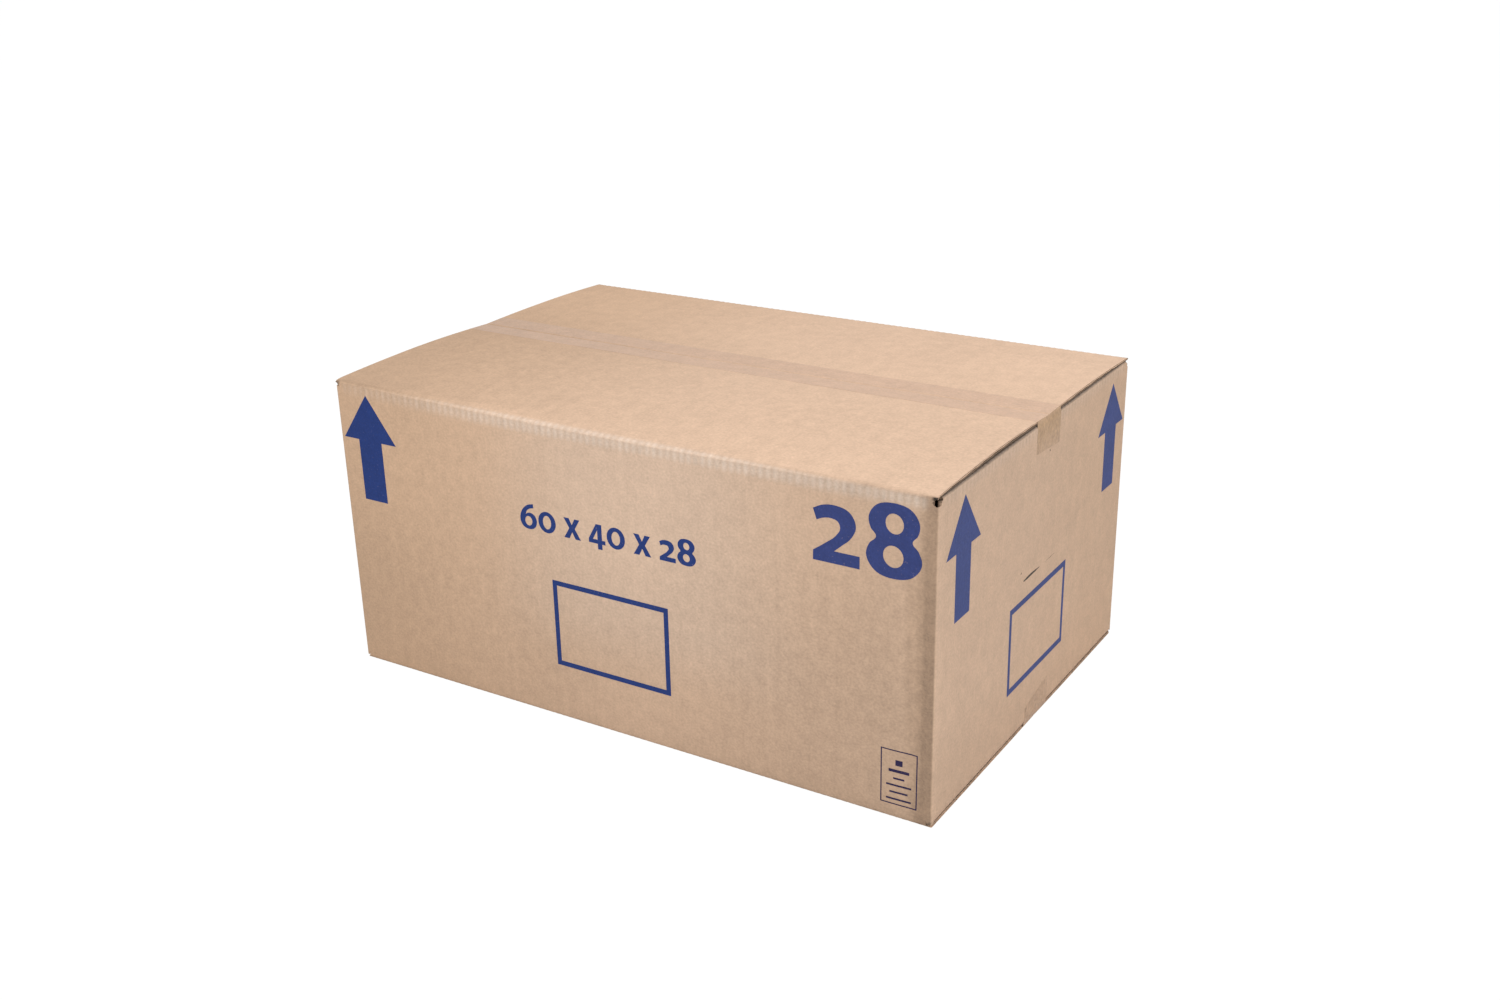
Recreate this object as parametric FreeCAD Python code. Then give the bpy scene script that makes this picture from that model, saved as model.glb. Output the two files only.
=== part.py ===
import FreeCAD, Part
import math
import os

# A closed carton of single-wall corrugated board, taped along its top and bottom seams.
# Millimetres. X runs along the long side, Y from front to rear, Z up. The origin is the
# middle of the underside, on the surface that the carton stands on.

# Body, measured outside
box_length = 600.0
box_width = 400.0
wall_height = 273.0          # between the folds of the lower and the upper minor flaps
board = 3.0                  # thickness of the corrugated board
liner = 0.4                  # facing paper on each side of the fluted middle

# Folds
crease_radius = 3.8          # outside of an upright corner and of a minor flap's fold
roll_radius = 6.0            # outside of a major flap's fold, which rolls over the minor flap
slot_past_fold = 0.4         # how far a corner slot runs past the start of a minor fold
corner_hole_radius = 3.3     # round end of each corner slot, open through both walls
corner_hole_drop = 2.6       # from a minor flap's fold to the middle of that hole

# Flaps
minor_flap_depth = 200.0     # from the outside of the end wall to the free edge
minor_side_gap = 7.0         # from the outside of the long wall to a minor flap's side edge
major_end_gap = 1.0          # from the outside of the end wall to a major flap's end edge
top_lap = 0.5                # air between a top major flap and the minor flap under it
bottom_lap = 0.9             # air between a bottom minor flap and the major flap under it
front_crown = 2.4            # how far the front top flap bows up between its fold and the seam
rear_crown = 1.4             # the same for the rear top flap
seam_offset = 9.5            # both seams lie this far behind the middle of the carton
seam_gap = 1.0               # between two major flaps
bottom_rise = 0.6            # how far the bottom major flaps lift off the ground at the seam
bottom_rise_span = 60.0      # over this distance from their free edges

# Cut edges that run along the flutes, where the channel between the liners shows
flute_recess = 2.5           # how far the fluted middle stands back there

# Glued joint of the blank, in the rear left corner
tab_width = 35.0             # from the outside of the end wall to the tab's free edge
tab_root = 3.0               # breadth of the tab's full-height strip beside its fold
tab_inset = 12.0             # from a minor flap's fold to the end of the tab
tab_slope = 8.0              # further inset of the tab's ends at its free edge
joint_edge_gap = 1.0         # from the outside of the end wall to the rear wall's raw edge

# Packing tape
tape_width = 50.0
tape_thickness = 0.2
tape_tool_overrun = 1.0      # how far the tool that hollows a strip runs past its free ends
top_tape_hang = 31.5         # from the top of the flaps down each end
bottom_tape_front_hang = 19.5    # from the ground up each end, at the tape's front edge
bottom_tape_rear_hang = 29.0     # from the ground up each end, at the tape's rear edge

half_length = box_length / 2
half_width = box_width / 2
low_fold_z = board + bottom_lap
high_fold_z = low_fold_z + wall_height
top_z = high_fold_z + top_lap + board
slot_low_z = low_fold_z + crease_radius + slot_past_fold
slot_high_z = high_fold_z - crease_radius - slot_past_fold
major_end_x = half_length - major_end_gap
minor_side_y = half_width - minor_side_gap
tape_front_y = seam_offset - tape_width / 2
tape_rear_y = seam_offset + tape_width / 2
above_all = top_z + box_width    # well over the carton, for tools that cut right through

FRONT, REAR = -1, 1
LEFT, RIGHT = -1, 1
CROWNS = {FRONT: front_crown, REAR: rear_crown}
INWARD = -1                  # an offset towards the inside of a plan that runs anticlockwise
MITRED = 2                   # an offset run keeps its corners sharp
EAST, NORTH, WEST, SOUTH = 0.0, math.pi / 2, math.pi, 1.5 * math.pi


def plan_point(x, y):
    """A point of the walls' plan, at the foot of the corner slots."""
    return FreeCAD.Vector(x, y, slot_low_z)


def major_point(y, z):
    """A point of a section through the long walls, at the major flaps' left ends."""
    return FreeCAD.Vector(-major_end_x, y, z)


def minor_point(x, z):
    """A point of a section through the end walls, at the minor flaps' front edges."""
    return FreeCAD.Vector(x, -minor_side_y, z)


def straight(place, start, end):
    return Part.makeLine(place(*start), place(*end))


def fold(place, center, radius, start_angle, end_angle):
    """The outer surface of a fold, as an arc about its centre."""
    angles = (start_angle, (start_angle + end_angle) / 2, end_angle)
    points = [place(center[0] + radius * math.cos(angle), center[1] + radius * math.sin(angle))
              for angle in angles]
    return Part.Arc(*points).toShape()


def sheet_face(outer_run, side, depth, thickness):
    """A layer of the board, from a depth under the outer surface, as a flat face."""
    start = outer_run
    if depth > 0:
        start = outer_run.makeOffset2D(side * depth, MITRED, False, True, False)
    return start.makeOffset2D(side * thickness, MITRED, True, True, False)


def folded_sheet(outer_run, side, sweep):
    """Board along a run of its outer surface, with open flute channels at both ends."""
    sheet = sheet_face(outer_run, side, 0.0, board).extrude(sweep)
    channel = sheet_face(outer_run, side, liner, board - 2 * liner)
    recess = FreeCAD.Vector(sweep).normalize() * flute_recess
    near = channel.extrude(recess)
    far = near.translated(sweep - recess)
    return sheet.cut([near, far])


def seam_edge_y(side):
    return seam_offset + side * seam_gap / 2


def crown_slope(side):
    """Slope at which a top major flap leaves its fold, and at which it meets the seam."""
    chord = half_width - roll_radius - side * seam_edge_y(side)
    return 2 * math.atan(2 * CROWNS[side] / chord)


def crown_circle(side):
    """Centre and radius of a top major flap's bowed outer surface."""
    slope = crown_slope(side)
    fold_y = side * (half_width - roll_radius + roll_radius * math.sin(slope))
    half_chord = abs(fold_y - seam_edge_y(side)) / 2
    center = ((fold_y + seam_edge_y(side)) / 2, top_z - half_chord / math.tan(slope))
    return center, half_chord / math.sin(slope)


def crown_height(side, y):
    center, radius = crown_circle(side)
    return center[1] + math.sqrt(radius ** 2 - (y - center[0]) ** 2)


def bottom_height(side, y):
    """Height of a bottom major flap's underside between its lift and the seam."""
    return bottom_rise * (1 - abs(seam_edge_y(side) - y) / bottom_rise_span)


def major_run(side):
    """Outer surface of a top major flap, its long wall and its bottom major flap."""
    slope = crown_slope(side)
    center, radius = crown_circle(side)
    roll_y = side * (half_width - roll_radius)
    high_center = (roll_y, top_z - roll_radius * math.cos(slope))
    low_center = (roll_y, roll_radius)
    seam_y = seam_edge_y(side)
    lift_y = seam_y + side * bottom_rise_span
    outward = EAST if side == REAR else WEST
    downward = -NORTH if side == REAR else SOUTH
    seam_angle, fold_angle = NORTH + side * slope, NORTH - side * slope
    return Part.Wire([
        fold(major_point, center, radius, seam_angle, fold_angle),
        fold(major_point, high_center, roll_radius, fold_angle, outward),
        straight(major_point, (side * half_width, high_center[1]), (side * half_width, roll_radius)),
        fold(major_point, low_center, roll_radius, outward, downward),
        straight(major_point, (roll_y, 0.0), (lift_y, 0.0)),
        straight(major_point, (lift_y, 0.0), (seam_y, bottom_rise))])


def minor_run(side):
    """Outer surface of a top minor flap, its end wall and its bottom minor flap."""
    crease_x = side * (half_length - crease_radius)
    free_x = side * (half_length - minor_flap_depth)
    high_center = (crease_x, high_fold_z - crease_radius)
    low_center = (crease_x, low_fold_z + crease_radius)
    outward = EAST if side == RIGHT else WEST
    downward = -NORTH if side == RIGHT else SOUTH
    outer_x = side * half_length
    return Part.Wire([
        straight(minor_point, (free_x, high_fold_z), (crease_x, high_fold_z)),
        fold(minor_point, high_center, crease_radius, NORTH, outward),
        straight(minor_point, (outer_x, high_center[1]), (outer_x, low_center[1])),
        fold(minor_point, low_center, crease_radius, outward, downward),
        straight(minor_point, (crease_x, low_fold_z), (free_x, low_fold_z))])


def rounded_block():
    """The space inside the rounded upright corners; the glued corner has a raw edge."""
    block = Part.makeBox(box_length, box_width, above_all,
                         FreeCAD.Vector(-half_length, -half_width, -roll_radius))
    corners = [edge for edge in block.Edges
               if abs(edge.tangentAt(edge.FirstParameter).z) > 0.5
               and (edge.CenterOfMass.x > 0 or edge.CenterOfMass.y < 0)]
    return block.makeFillet(crease_radius, corners)


def long_side(side):
    """A long wall with its two major flaps."""
    sweep = FreeCAD.Vector(2 * major_end_x, 0, 0)
    return folded_sheet(major_run(side), side, sweep).common(rounded_block())


def short_side(side):
    """An end wall with its two minor flaps."""
    sweep = FreeCAD.Vector(0, 2 * minor_side_y, 0)
    return folded_sheet(minor_run(side), -side, sweep)


def upright_corners():
    """The walls between the corner slots, as the blank runs from its tab to its raw edge."""
    tab_y = half_width - board
    left_x, right_x = crease_radius - half_length, half_length - crease_radius
    front_y, rear_y = crease_radius - half_width, half_width - crease_radius
    raw_x = joint_edge_gap - half_length
    tab_center = (left_x, tab_y - crease_radius)
    first = Part.Wire([
        straight(plan_point, (left_x + tab_root, tab_y), (left_x, tab_y)),
        fold(plan_point, tab_center, crease_radius, NORTH, WEST),
        straight(plan_point, (-half_length, tab_center[1]), (-half_length, front_y)),
        fold(plan_point, (left_x, front_y), crease_radius, WEST, SOUTH),
        straight(plan_point, (left_x, -half_width), (right_x, -half_width)),
        fold(plan_point, (right_x, front_y), crease_radius, -NORTH, EAST),
        straight(plan_point, (half_length, front_y), (half_length, 0.0))])
    second = Part.Wire([
        straight(plan_point, (half_length, 0.0), (half_length, rear_y)),
        fold(plan_point, (right_x, rear_y), crease_radius, EAST, NORTH),
        straight(plan_point, (right_x, half_width), (raw_x, half_width))])
    rise = FreeCAD.Vector(0, 0, slot_high_z - slot_low_z)
    channel = Part.makeBox(flute_recess, board - 2 * liner, rise.z,
                           FreeCAD.Vector(raw_x, tab_y + liner, slot_low_z))
    walls = [sheet_face(run, INWARD, 0.0, board).extrude(rise) for run in (first, second)]
    return walls[0].fuse(walls[1]).cut(channel)


def glue_tab():
    """The tab that is glued inside the rear wall, with sloping ends."""
    root_x = crease_radius - half_length
    free_x = tab_width - half_length
    low_z, high_z = low_fold_z + tab_inset, high_fold_z - tab_inset
    inner_y = half_width - 2 * board
    outline = [(root_x, low_z), (free_x, low_z + tab_slope), (free_x, high_z - tab_slope),
               (root_x, high_z), (root_x, low_z)]
    points = [FreeCAD.Vector(x, inner_y, z) for x, z in outline]
    return Part.Face(Part.makePolygon(points)).extrude(FreeCAD.Vector(0, board, 0))


def corner_holes():
    """Short rods through the upright corners, where the slots between the flaps end."""
    reach = 2 * roll_radius
    rods = []
    for side_x in (LEFT, RIGHT):
        for side_y in (FRONT, REAR):
            inward = FreeCAD.Vector(-side_x, -side_y, 0).normalize()
            for z in (low_fold_z + corner_hole_drop, high_fold_z - corner_hole_drop):
                corner = FreeCAD.Vector(side_x * half_length, side_y * half_width, z)
                rods.append(Part.makeCylinder(corner_hole_radius, reach, corner - inward, inward))
    return rods


def make_carton():
    """The whole blank, folded, glued and closed, as one sheet."""
    pieces = [long_side(REAR), short_side(LEFT), short_side(RIGHT), upright_corners(), glue_tab()]
    sheet = long_side(FRONT).multiFuse(pieces).removeSplitter()
    return sheet.cut(corner_holes())


def end_face_point(y, z):
    return FreeCAD.Vector(0.0, y, z)


def strip(surface_edges, far_front, far_rear, outward):
    """Tape along a line of surface edges, wrapped over both ends of the carton."""
    front, rear = surface_edges[0].Vertexes[0].Point, surface_edges[-1].Vertexes[-1].Point
    solids = []
    for thickness, overrun in ((tape_thickness, 0.0), (0.0, tape_tool_overrun)):
        shift = FreeCAD.Vector(0, 0, outward * thickness)
        reach = FreeCAD.Vector(0, 0, -outward * overrun)
        end_x = half_length + thickness
        low_front, low_rear = end_face_point(*far_front) + reach, end_face_point(*far_rear) + reach
        edges = [edge.translated(shift) for edge in surface_edges]
        edges.append(Part.makeLine(rear + shift, low_rear))
        edges.append(Part.makeLine(low_rear, low_front))
        edges.append(Part.makeLine(low_front, front + shift))
        face = Part.Face(Part.Wire(edges)).translated(FreeCAD.Vector(-end_x, 0, 0))
        solid = face.extrude(FreeCAD.Vector(2 * end_x, 0, 0))
        surface_z = front.z + shift.z
        bends = [edge for edge in solid.Edges
                 if abs(edge.tangentAt(edge.FirstParameter).y) > 0.5
                 and abs(edge.CenterOfMass.z - surface_z) < front_crown
                 and abs(abs(edge.CenterOfMass.x) - end_x) < tape_thickness]
        solids.append(solid.makeFillet(major_end_gap + thickness, bends))
    return solids[0].cut(solids[1])


def surface_arc(side, start_y, end_y):
    """Part of a top major flap's bowed surface, in the middle section."""
    points = [end_face_point(y, crown_height(side, y)) for y in (start_y, (start_y + end_y) / 2, end_y)]
    return Part.Arc(*points).toShape()


def make_top_tape():
    front_edge, rear_edge = seam_edge_y(FRONT), seam_edge_y(REAR)
    surface = [surface_arc(FRONT, tape_front_y, front_edge),
               straight(end_face_point, (front_edge, top_z), (rear_edge, top_z)),
               surface_arc(REAR, rear_edge, tape_rear_y)]
    end_z = top_z - top_tape_hang
    return strip(surface, (tape_front_y, end_z), (tape_rear_y, end_z), 1)


def make_bottom_tape():
    front_edge, rear_edge = seam_edge_y(FRONT), seam_edge_y(REAR)
    low_front = (tape_front_y, bottom_height(FRONT, tape_front_y))
    low_rear = (tape_rear_y, bottom_height(REAR, tape_rear_y))
    surface = [straight(end_face_point, low_front, (front_edge, bottom_rise)),
               straight(end_face_point, (front_edge, bottom_rise), (rear_edge, bottom_rise)),
               straight(end_face_point, (rear_edge, bottom_rise), low_rear)]
    return strip(surface, (tape_front_y, bottom_tape_front_hang),
                 (tape_rear_y, bottom_tape_rear_hang), -1)


PARTS = {"carton": make_carton, "top_tape": make_top_tape, "bottom_tape": make_bottom_tape}

os.makedirs("parts", exist_ok=True)
for name, make in PARTS.items():
    shape = make()
    box = shape.BoundBox
    print(name, "valid", shape.isValid(), "solids", len(shape.Solids), "faces", len(shape.Faces),
          "volume", round(shape.Volume, 1))
    print("  x", round(box.XMin, 2), round(box.XMax, 2), "y", round(box.YMin, 2), round(box.YMax, 2),
          "z", round(box.ZMin, 2), round(box.ZMax, 2))
    shape.exportStep("parts/" + name + ".step")
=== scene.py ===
import math

import bpy
from mathutils import Matrix, Vector, noise
from mathutils.bvhtree import BVHTree
from mathutils.geometry import delaunay_2d_cdt


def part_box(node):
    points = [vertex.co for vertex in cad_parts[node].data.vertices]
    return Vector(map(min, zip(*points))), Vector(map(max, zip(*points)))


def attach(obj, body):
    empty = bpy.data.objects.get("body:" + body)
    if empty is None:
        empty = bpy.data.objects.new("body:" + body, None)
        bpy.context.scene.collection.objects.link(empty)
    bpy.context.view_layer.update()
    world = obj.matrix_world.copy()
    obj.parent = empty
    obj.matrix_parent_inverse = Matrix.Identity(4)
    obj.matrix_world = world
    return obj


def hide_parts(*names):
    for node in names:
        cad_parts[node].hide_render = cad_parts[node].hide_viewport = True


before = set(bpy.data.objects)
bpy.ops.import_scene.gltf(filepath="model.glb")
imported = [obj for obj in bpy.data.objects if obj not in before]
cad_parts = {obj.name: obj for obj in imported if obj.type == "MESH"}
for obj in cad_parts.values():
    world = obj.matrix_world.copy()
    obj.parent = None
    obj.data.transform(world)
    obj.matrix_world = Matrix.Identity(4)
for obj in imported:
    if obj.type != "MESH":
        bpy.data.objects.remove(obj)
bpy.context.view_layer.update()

# A closed, taped carton of corrugated board with blue print. Lengths in the code are
# millimetres in the carton's own frame, and become metres where a mesh is made. The shaders
# work in metres.

bl_info = {
    "name": "Taped Carton",
    "version": (1, 0, 0),
    "blender": (4, 5, 0),
    "location": "3D View > Sidebar > Carton",
    "description": "Dresses a packed carton with folded board, tape and print",
    "category": "Object",
}

MM = 0.001
CARTON_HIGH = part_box("carton")[1]
HALF_LENGTH = CARTON_HIGH.x / MM
HALF_WIDTH = CARTON_HIGH.y / MM
BODY = "root"
FRONT, REAR = -1, 1
LEFT, RIGHT = -1, 1

# Board and folds
BOARD = 3.0
LINER = 0.5
CORNER_RADIUS = 3.8
HOLE_RADIUS = 4.0
HOLE_CRUSH = 1.7
HOLE_SPREAD = 0.6
SHUT_HOLE = 0.15
LOW_HOLE_Z = 6.5
LOW_HOLE_FALL = 3.0
HIGH_HOLE_Z = 274.3
LONG_CREASE_Z = 277.6
MINOR_FOLD_Z = 276.9
LOW_MINOR_Z = 3.9
MINOR_DEPTH = 200.0
MAJOR_END_X = 299.0
MINOR_SIDE_Y = 193.0
RAW_EDGE_X = -299.0
TAB_WIDTH = 35.0
TAB_CLEARANCE = 0.05
TAB_STEPS = ((0.0, 20.0), (0.45, 16.0), (0.9, 12.0), (1.0, 0.0))
SEAM_Y = 9.5
SEAM_HALF_GAP = 0.5
CHANNEL_DEPTH = 5.0
LOW_CHANNEL_DEPTH = 0.8
STRIP_DEPTH = 1.9
STRIP_PAPER = 0.75
STRIP_ROOM = 0.05
STRIP_SET_BACK = 0.25
FLARE_SPAN = 7.0
QUARTER = CORNER_RADIUS * math.pi / 2
PAST_ARC = HOLE_RADIUS - QUARTER / 2
FINE_PER_FLUTE = 6
CORNER_STEPS = 10

# How the real carton sags and bends
SAG_MIDDLE_X = -30.0
SAG_SPANS = (290.0, 350.0)
SAG_REACH = 38.0
FOLD_DIP = 1.1
FOLD_DIP_REACH = 20.0
WALL_DISH = 0.9
WALL_INSET = 0.1
LID_WAVE = 0.35

# Lid flaps: height at the fold and at the seam, and bow between them
LID_FOLD_Z = {FRONT: 279.5, REAR: 278.7}
LID_SEAM_Z = 280.3
LID_BOW = {FRONT: 2.75, REAR: 1.9}
LID_STEP = 2.1
LID_STEP_REACH = 1.7
LID_FIRST_ROW = 0.9
BOTTOM_LIFT = 0.6
BOTTOM_LIFT_SPAN = 60.0

# Rows of the sheet: inward distances on the flaps, and heights on the walls
FINE_REACH = (1.5, 2.6, 4.0, 6.0, 8.5, 12.0)
COARSE_SHARES = {
    "major": (0.07, 0.16, 0.27, 0.39, 0.5, 0.61, 0.72, 0.82, 0.9, 0.96, 1.0),
    "minor": (0.18, 0.4, 0.6, 0.8, 1.0)}
WALL_FINE_LOW = (LOW_HOLE_Z, 8.2, 10.0, 12.0, 14.5, 17.5)
WALL_COARSE = (45.0, 78.0, 112.0, 146.0, 180.0, 212.0, 240.0)
WALL_FINE_HIGH = (262.5, 265.5, 268.0, 270.0, 271.6, 273.0, HIGH_HOLE_Z)

# Each fold: where its arc meets the flap, with the arc's radius, steps and ribs; then how
# many of the fine rows it leaves out, between which distances its ribs fade, and their
# strength; then how far the board is crushed, and over what reach
FOLDS = {
    ("major", "top"): ((1.5, 1.3, 4, 0.75), (0, 0.5, 7.0, 1), (1.5, 9.0)),
    ("minor", "top"): ((9.0, 2.3, 5, 0.9), (2, 2.0, 9.0, 1), (1.3, 4.0)),
    ("major", "bottom"): ((9.0, 4.4, 6, 0.3), (3, 4.5, 11.0, 0.3), (0.8, 4.0)),
    ("minor", "bottom"): ((9.0, 2.3, 5, 0.7), (2, 2.0, 9.0, 0.7), (1.0, 4.0))}

# Print. Figures stand at the height of the large ones: 48 for the low, 61 for the tall. Each
# has its width and its outlines: stations of a curve, of which some are sharp corners, ovals
# by middle, radii and tilt, or the corners of a straight outline
SHARP = True
FIGURES = {
    "2": (40.5, ("curve", (
        (0, 0, SHARP), (40.5, 0, SHARP), (40.5, 10.3, SHARP), (18.5, 10.3, SHARP), (25, 16),
        (33, 23.5), (37.3, 33.5), (33, 43.5), (18.5, 48), (8, 46.4), (0.4, 42.6, SHARP),
        (3.5, 33.5, SHARP), (9, 36), (15.4, 37), (21.8, 35.2), (23.8, 30), (20.5, 24),
        (10.5, 15.5), (0.2, 8.1, SHARP)))),
    "8": (46.3, ("curve", (
        (23.2, 0), (39.5, 4.4), (46.3, 16.5), (43.2, 25.4), (38.2, 31.6), (42.6, 38),
        (44.2, 46), (38.4, 56.6), (23.1, 60.8), (8, 56.6), (2.1, 46), (3.8, 38), (8.4, 31.8),
        (3, 25.4), (0, 16.5), (6.6, 4.4))),
        ("oval", (23.7, 44.4, 7.4, 8.2, 0.25)), ("oval", (22.8, 17.9, 8.3, 8.9, 0.35))),
    "0": (48.0, ("oval", (24, 24.5, 24, 25)), ("oval", (24, 24.5, 11.2, 15.8))),
    "6": (46.0, ("curve", (
        (23.5, -0.5), (39.5, 5), (46, 20), (41, 33.5), (29, 38.8), (22, 37.6),
        (16.4, 34, SHARP), (20, 42.5), (27.5, 48.2), (38.8, 51.2, SHARP), (38, 60.8, SHARP),
        (21.5, 56), (7.5, 43.5), (0.6, 27.5), (0.8, 15), (8, 4))),
        ("oval", (23.4, 19, 9.8, 11.2))),
    "4": (44.0, ("straight", (
        (23.5, -10), (35.5, -10), (35.5, 2.5), (44, 2.5), (44, 12), (35.5, 12), (35.5, 48),
        (21, 48), (0, 11.5), (0, 2.5), (23.5, 2.5))),
        ("straight", ((11.5, 12), (23.5, 12), (23.5, 34)))),
    "x": (45.0, ("straight", (
        (0, 0), (14.5, 0), (22.5, 15.5), (30.5, 0), (45, 0), (30, 24), (44, 47), (30, 47),
        (22.5, 32), (15, 47), (1, 47), (15, 24))))}
CURVE_STEPS = 6
OVAL_STEPS = 28
ARROW_HEAD = 62.0
ARROW_SHAFT = 27.2
FRAME_LINE = 4.6
END_FRAME_LEVEL = 5.4
PANEL_LINE = 1.0
SMALL_SCALE = 0.39
LETTER_GAP = 1.7
WORD_GAP = 8.5
PANEL_X = 255.2
PANEL_BAR_Z = 17.4
PANEL_BAR_RISE = 6.2
PANEL_BARS = ((5.0, 21.6, 1.6), (8.0, 15.6, 1.6), (5.0, 21.6, 1.6), (11.0, 9.6, 1.6),
              (7.0, 17.6, 2.6), (12.8, 6.0, 5.0))
INK_GRID = 4.0
INK_PROUD = 0.07
INK_SUNK = 0.10
SLIVER = 0.001
RAY_START = 60.0

# Dark marks on the right end: dirt on the board, and a thin dark line on the bottom tape where it
# wrinkles
BOARD_MARKS = (
    [(-31, 145.5), (-24, 145.1), (-15, 145.3), (-6, 145.5), (3, 146.0), (3, 146.5),
     (-6, 147.1), (-15, 147.6), (-24, 147.3), (-31, 146.5)],
    [(16, 146.0), (27, 146.0), (38, 146.0), (27, 146.22)],
    [(-38.2, 154.6), (-36.4, 154.9), (-35.8, 156.0), (-37.2, 155.8)],
    [(13.4, 246.6), (14.9, 247.0), (14.7, 248.3), (13.7, 248.1)])
TAPE_MARKS = (
    [(-13.6, 13.8), (-12.9, 16.0), (-12.0, 18.6), (-12.7, 18.4), (-13.5, 16.2)],)

# Tape: each end's height, its fall from one side of the tape to the other and its noise seed
TAPE_HALF = 25.0
TAPE_ABOVE = 0.10
TAPE_FILM = 0.06
TAPE_CRINKLE = 0.05
TAPE_RAGGED = 0.25
TAPE_SIDE_X = HALF_LENGTH + 0.12
TAPE_REACH = MAJOR_END_X - 2.2
TAPE_CLEAR_OF_FOLD = 3.0
TAPE_GROOVE = 0.30
TAPE_GROOVE_HALF = 1.3
TOP_TAPE_END = (LID_SEAM_Z - 31.5, -3.6, 0)
BOTTOM_TAPE_END = (19.5, 9.5, 5)
ACROSS_STEPS = 40
ALONG_STEP = 4.0
DOWN_STEPS = 8

# Smoothing angles of the meshes
BOARD_SHARP = math.radians(38)
TAPE_SHARP = math.radians(50)

# Metres over which the finish passes from the front, the lid or an end to its neighbour
FRONT_EDGE = (-0.1994, -0.1980)
LID_EDGE = (0.2775, 0.2790)
END_EDGE = (0.2985, 0.2993)
DIRT = (0.035, 0.026, 0.020)

# Stage
CAMERA_PLACE = Vector((0.76163, -1.18954, 0.7090))
CAMERA_RIGHT = Vector((0.85056, 0.52551, -0.01975))
CAMERA_DOWN = Vector((0.17772, -0.32260, -0.92970))
CAMERA_FORWARD = Vector((-0.49494, 0.78726, -0.36778))
CAMERA_LENS = 38.98
LAMPS = (("key", (1.05, 0.1, 1.9), 1.2, 20.5, (0.97, 0.985, 1.05)),
         ("fill", (0.0, -1.7, 1.8), 1.0, 30.5, (1.0, 0.985, 0.98)),
         ("side", (2.6, 0.2, 1.0), 1.6, 6.3, (1.0, 0.98, 0.93)))
LAMP_TARGET = Vector((0, 0, 0.14))
WORLD_LIGHT = 0.37
FLOOR_WHITENESS = 0.95
FLOOR_GLOW = 1.04
FLOOR_REACH = 30.0
WHITE = (1, 1, 1, 1)


def smooth(low, high, value):
    """0 below low, 1 above high, with an even slope at both ends."""
    share = min(1.0, max(0.0, (value - low) / (high - low)))
    return share * share * (3 - 2 * share)


def handled(point):
    """Where a point of the ideal carton lies on the real one, which sags and bends a little."""
    x, y, z = point
    from_front = y + HALF_WIDTH
    sag = bpy.context.scene.carton_sizes.crease_sag / MM
    span = SAG_SPANS[0] if x < SAG_MIDDLE_X else SAG_SPANS[1]
    bell = math.cos(min(1.0, abs(x - SAG_MIDDLE_X) / span) * math.pi / 2) ** 2
    z -= sag * bell * math.exp(-from_front / SAG_REACH) * smooth(190, 268, z)
    middle_z = math.sin(math.pi * min(1.0, max(0.0, z / LONG_CREASE_Z)))
    beside_fold = smooth(262.0, 284.0, x) * (1 - smooth(285.0, 297.0, x))
    y += FOLD_DIP * beside_fold * math.exp(-from_front / FOLD_DIP_REACH) * min(1.0, middle_z * 3)
    dish = 0.5 + 0.5 * noise.noise(Vector((x * 0.006, y * 0.006, z * 0.009)))
    y_share = min(1.0, abs(y) / HALF_WIDTH) ** 6
    x_share = min(1.0, abs(x) / HALF_LENGTH) ** 6
    y -= math.copysign((WALL_DISH * dish * middle_z * (1 - x_share) + WALL_INSET) * y_share, y)
    x -= math.copysign((WALL_DISH * dish * middle_z * (1 - y_share) + WALL_INSET) * x_share, x)
    over = smooth(LONG_CREASE_Z, LID_FOLD_Z[FRONT], z)
    z += LID_WAVE * over * (noise.noise(Vector((x * 0.008, y * 0.012, 3.7))) - 0.35)
    return Vector((x, y, z))


# Sections through the folds, as rows of the sheet

class Row:
    """A line across the flutes: inward distance, height, outward normal and thickness."""

    def __init__(self, inward, height, fine, rib=0.0):
        self.inward, self.height, self.fine, self.rib = inward, height, fine, rib
        self.normal = (1.0, 0.0)
        self.thickness = BOARD
        self.travel = height


def fillet(before, apex, after, radius, steps):
    """Points of an arc that rounds the corner at apex."""
    a, c, b = Vector(before), Vector(apex), Vector(after)
    one, two = (a - c).normalized(), (b - c).normalized()
    half = one.angle(two) / 2
    center = c + (one + two).normalized() * (radius / math.sin(half))
    start = c + one * (radius / math.tan(half)) - center
    sweep = math.pi - 2 * half
    turn = sweep if one.x * two.y - one.y * two.x < 0 else -sweep
    points = []
    for step in range(steps + 1):
        angle = turn * step / steps
        cos, sin = math.cos(angle), math.sin(angle)
        points.append((center.x + cos * start.x - sin * start.y,
                       center.y + sin * start.x + cos * start.y))
    return points


def flap_depth(side):
    return HALF_WIDTH - side * SEAM_Y - SEAM_HALF_GAP


def lid_height(side, inward):
    """Top face of a lid flap, with the quick rise behind its crease."""
    share = inward / flap_depth(side)
    level = LID_FOLD_Z[side] + (LID_SEAM_Z - LID_FOLD_Z[side]) * share
    bow = 4 * LID_BOW[side] * share * (1 - share)
    step = LID_STEP - (LID_FOLD_Z[FRONT] - LID_FOLD_Z[side])
    return level + bow - step * math.exp(-inward / LID_STEP_REACH)


def bottom_height(side, inward):
    """Underside of a bottom flap, which lifts a little towards the seam."""
    return BOTTOM_LIFT * max(0.0, 1 - (flap_depth(side) - inward) / BOTTOM_LIFT_SPAN)


def flap_height(kind, end, side, inward):
    if kind == "major":
        return (lid_height if end == "top" else bottom_height)(side, inward)
    return MINOR_FOLD_Z if end == "top" else LOW_MINOR_Z


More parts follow.
